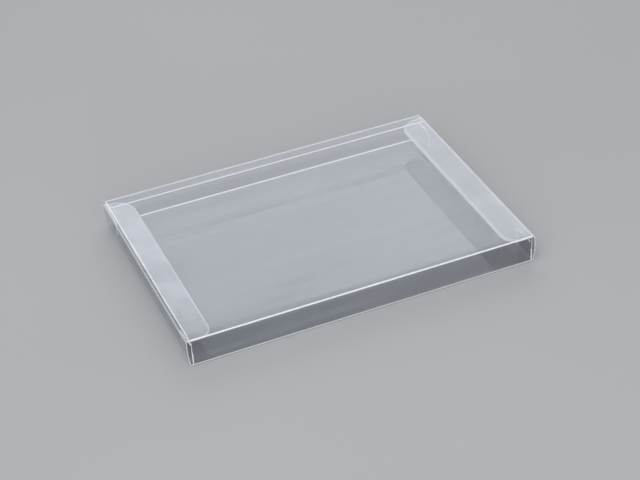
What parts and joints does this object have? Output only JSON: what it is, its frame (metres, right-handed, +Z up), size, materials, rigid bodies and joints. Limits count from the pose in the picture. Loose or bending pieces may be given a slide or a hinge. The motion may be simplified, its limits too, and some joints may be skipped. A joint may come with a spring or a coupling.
{
  "type": "game box protector",
  "caption": "Flat clear plastic sleeve folded from one sheet, with glued back seam, inner dust flaps and a tuck flap that opens at each end, to cover a keep case.",
  "frame": {"origin": "centre of the box's footprint, on the surface that the bottom panel rests on", "axes": "+X along the sleeve towards the right end flap, -Y towards the front wall, +Z up from the bottom panel to the top panel"},
  "size_m": [0.1948, 0.137, 0.016],
  "materials": {
    "clear_sheet": "clear, glossy, faintly blue-grey"
  },
  "bodies": {
    "sleeve": {"sleeve": "clear_sheet"},
    "left_end_flap": {"left_end_flap": "clear_sheet"},
    "left_tuck_tongue": {"left_tuck_tongue": "clear_sheet"},
    "right_end_flap": {"right_end_flap": "clear_sheet"},
    "right_tuck_tongue": {"right_tuck_tongue": "clear_sheet"}
  },
  "joints": [
    {"name": "right_end_flap_hinge", "type": "hinge", "parent": "sleeve", "child": "right_end_flap", "pos_m": [0.0961, 0, 0.0002], "axis": [0, 1, 0], "range_deg": [0, 78]},
    {"name": "right_tongue_fold", "type": "hinge", "parent": "right_end_flap", "child": "right_tuck_tongue", "pos_m": [0.09675, 0, 0.0143], "axis": [0, -1, 0], "range_deg": [0, 39]},
    {"name": "left_end_flap_hinge", "type": "hinge", "parent": "sleeve", "child": "left_end_flap", "pos_m": [-0.0961, 0, 0.0002], "axis": [0, -1, 0], "range_deg": [0, 78]},
    {"name": "left_tongue_fold", "type": "hinge", "parent": "left_end_flap", "child": "left_tuck_tongue", "pos_m": [-0.09675, 0, 0.0143], "axis": [0, 1, 0], "range_deg": [0, 39]}
  ],
  "couplings": [
    {"joint": "right_tongue_fold", "follows": "right_end_flap_hinge", "ratio": 0.5},
    {"joint": "left_tongue_fold", "follows": "left_end_flap_hinge", "ratio": 0.5}
  ]
}
